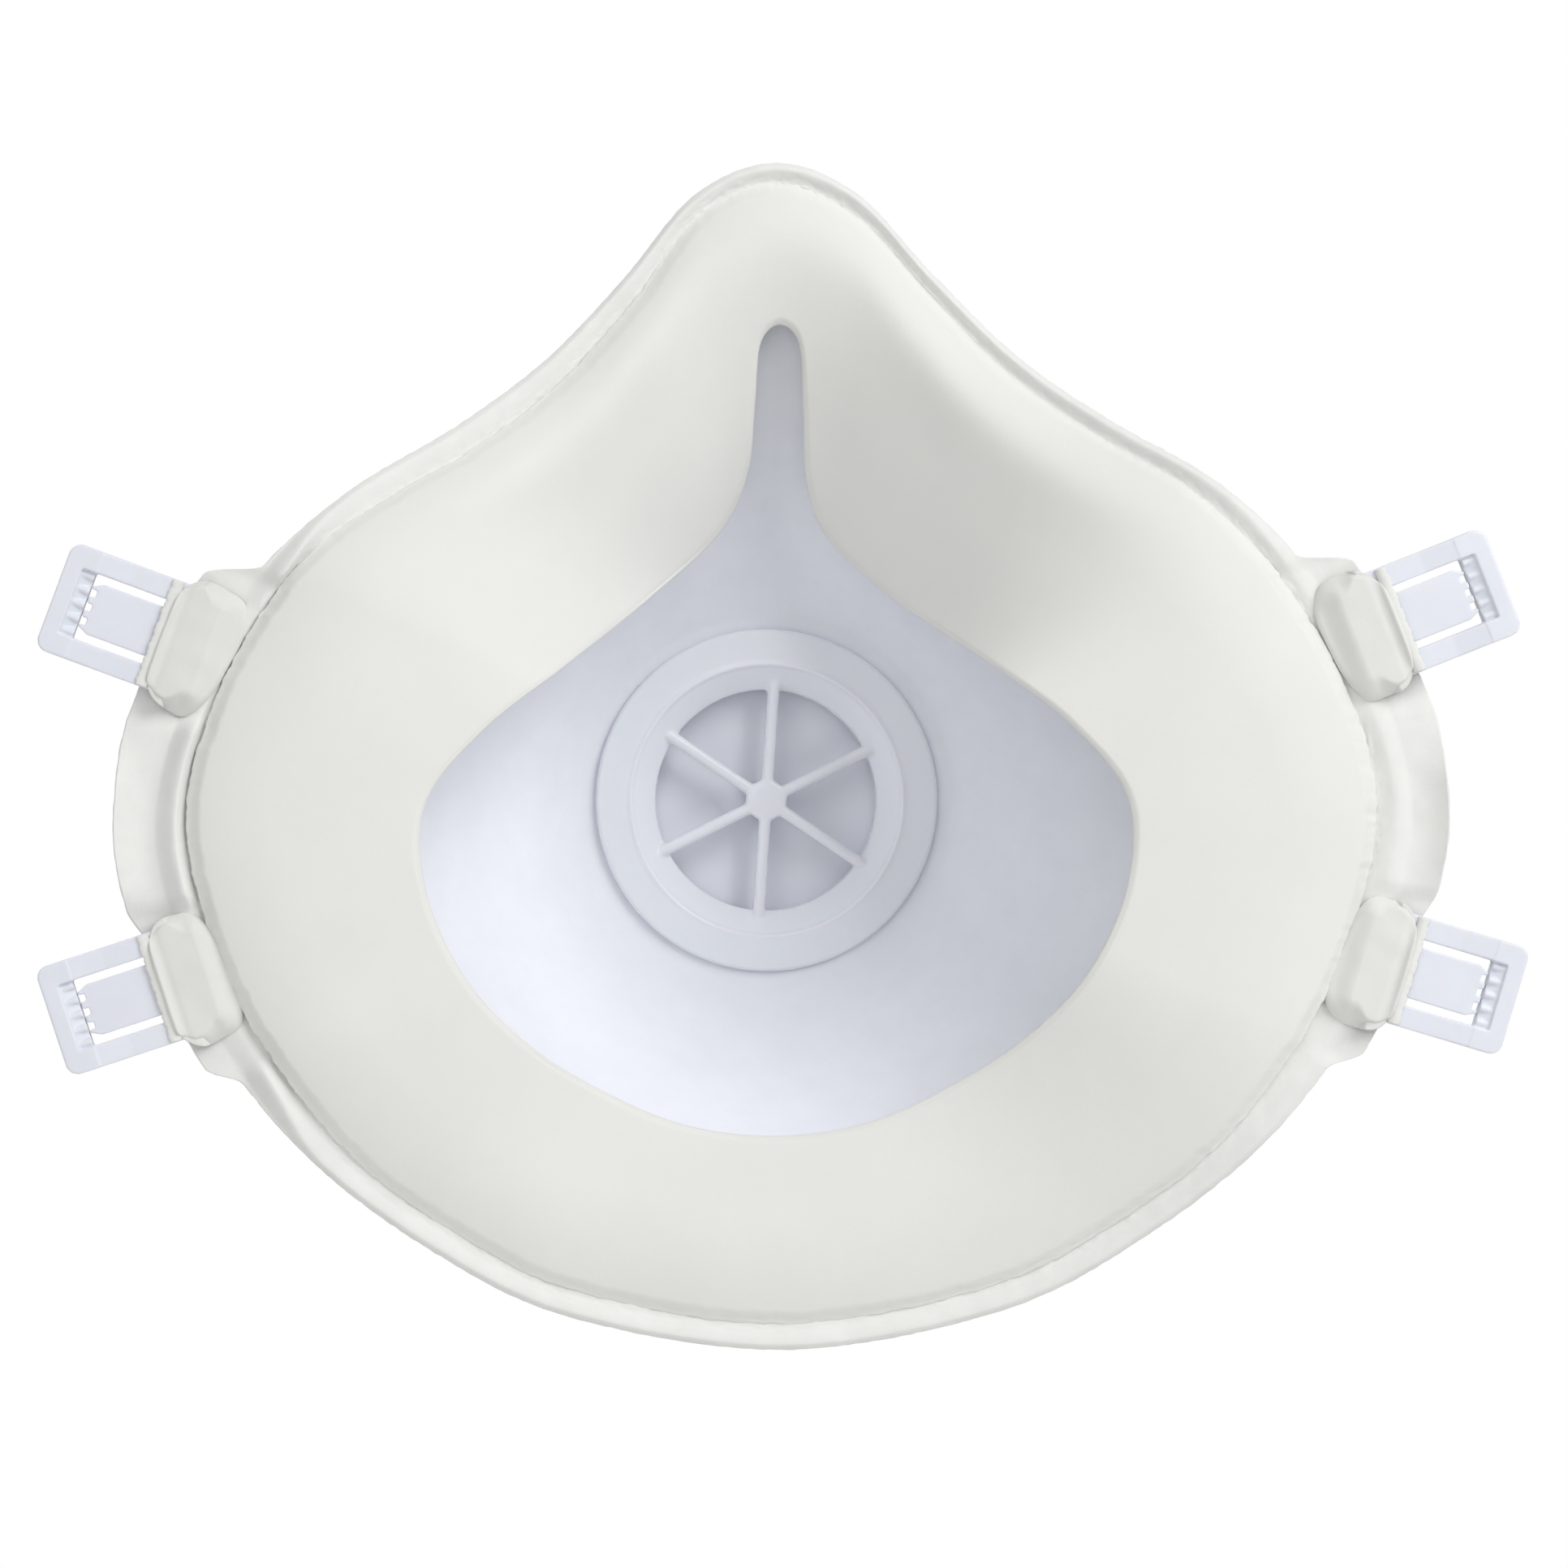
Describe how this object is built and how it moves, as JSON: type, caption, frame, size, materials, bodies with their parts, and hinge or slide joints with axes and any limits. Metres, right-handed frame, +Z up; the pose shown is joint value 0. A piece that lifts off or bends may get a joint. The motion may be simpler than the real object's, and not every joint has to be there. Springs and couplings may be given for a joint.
{
  "type": "disposable dust mask",
  "caption": "Cup-shaped disposable dust mask with a foam face seal, an exhalation valve and strap buckles.",
  "frame": {"origin": "middle of the wearer's side, in the plane of the cheek flanges, 5 mm above the valve's axis", "axes": "+X across the face to the right in the wearer's-side view, +Y forward through the valve, away from the wearer, +Z up from chin to nose"},
  "size_m": [0.1678, 0.0578, 0.1359],
  "materials": {
    "cover_web": "matte",
    "filter_web": "matte",
    "shell_web": "matte",
    "foam": "matte",
    "clip_metal": "satin",
    "valve_plastic": "satin",
    "diaphragm_rubber": "matte",
    "buckle_plastic": "satin"
  },
  "bodies": {
    "mask": {"outer_cover": "cover_web", "filter_media": "filter_web", "inner_shell": "shell_web", "face_seal": "foam", "nose_clip": "clip_metal", "valve_seat": "valve_plastic", "valve_cover": "valve_plastic", "buckle_anchor_upper_left": "buckle_plastic", "buckle_anchor_upper_right": "buckle_plastic", "buckle_anchor_lower_left": "buckle_plastic", "buckle_anchor_lower_right": "buckle_plastic", "ear_patch_upper_left": "foam", "ear_patch_upper_right": "foam", "ear_patch_lower_left": "foam", "ear_patch_lower_right": "foam"},
    "diaphragm": {"valve_diaphragm": "diaphragm_rubber"},
    "buckle_upper_left": {"buckle_frame_upper_left": "buckle_plastic"},
    "tongue_upper_left": {"buckle_tongue_upper_left": "buckle_plastic"},
    "buckle_upper_right": {"buckle_frame_upper_right": "buckle_plastic"},
    "tongue_upper_right": {"buckle_tongue_upper_right": "buckle_plastic"},
    "buckle_lower_left": {"buckle_frame_lower_left": "buckle_plastic"},
    "tongue_lower_left": {"buckle_tongue_lower_left": "buckle_plastic"},
    "buckle_lower_right": {"buckle_frame_lower_right": "buckle_plastic"},
    "tongue_lower_right": {"buckle_tongue_lower_right": "buckle_plastic"}
  },
  "joints": [
    {"name": "diaphragm_lift", "type": "slide", "parent": "mask", "child": "diaphragm", "axis": [0, 1, 0], "range_m": [0, 0.0015], "stiffness_N_per_m": 4},
    {"name": "buckle_swing_upper_left", "type": "hinge", "parent": "mask", "child": "buckle_upper_left", "pos_m": [-0.068, -0.0012, 0.0139], "axis": [0.3584, 0, 0.9336], "range_deg": [-6, 35], "stiffness_Nm_per_rad": 0.01},
    {"name": "tongue_flex_upper_left", "type": "hinge", "parent": "buckle_upper_left", "child": "tongue_upper_left", "pos_m": [-0.07005, -0.0012, 0.01469], "axis": [0.3584, 0, 0.9336], "range_deg": [-10, 15], "stiffness_Nm_per_rad": 0.02},
    {"name": "buckle_swing_upper_right", "type": "hinge", "parent": "mask", "child": "buckle_upper_right", "pos_m": [0.068, -0.0012, 0.0139], "axis": [0.3584, 0, -0.9336], "range_deg": [-6, 35], "stiffness_Nm_per_rad": 0.01},
    {"name": "tongue_flex_upper_right", "type": "hinge", "parent": "buckle_upper_right", "child": "tongue_upper_right", "pos_m": [0.07005, -0.0012, 0.01469], "axis": [0.3584, 0, -0.9336], "range_deg": [-10, 15], "stiffness_Nm_per_rad": 0.02},
    {"name": "buckle_swing_lower_left", "type": "hinge", "parent": "mask", "child": "buckle_lower_left", "pos_m": [-0.0685, -0.0012, -0.0245], "axis": [-0.3007, 0, 0.9537], "range_deg": [-6, 35], "stiffness_Nm_per_rad": 0.01},
    {"name": "tongue_flex_lower_left", "type": "hinge", "parent": "buckle_lower_left", "child": "tongue_lower_left", "pos_m": [-0.0706, -0.0012, -0.02516], "axis": [-0.3007, 0, 0.9537], "range_deg": [-10, 15], "stiffness_Nm_per_rad": 0.02},
    {"name": "buckle_swing_lower_right", "type": "hinge", "parent": "mask", "child": "buckle_lower_right", "pos_m": [0.0685, -0.0012, -0.0245], "axis": [-0.3007, 0, -0.9537], "range_deg": [-6, 35], "stiffness_Nm_per_rad": 0.01},
    {"name": "tongue_flex_lower_right", "type": "hinge", "parent": "buckle_lower_right", "child": "tongue_lower_right", "pos_m": [0.0706, -0.0012, -0.02516], "axis": [-0.3007, 0, -0.9537], "range_deg": [-10, 15], "stiffness_Nm_per_rad": 0.02}
  ]
}
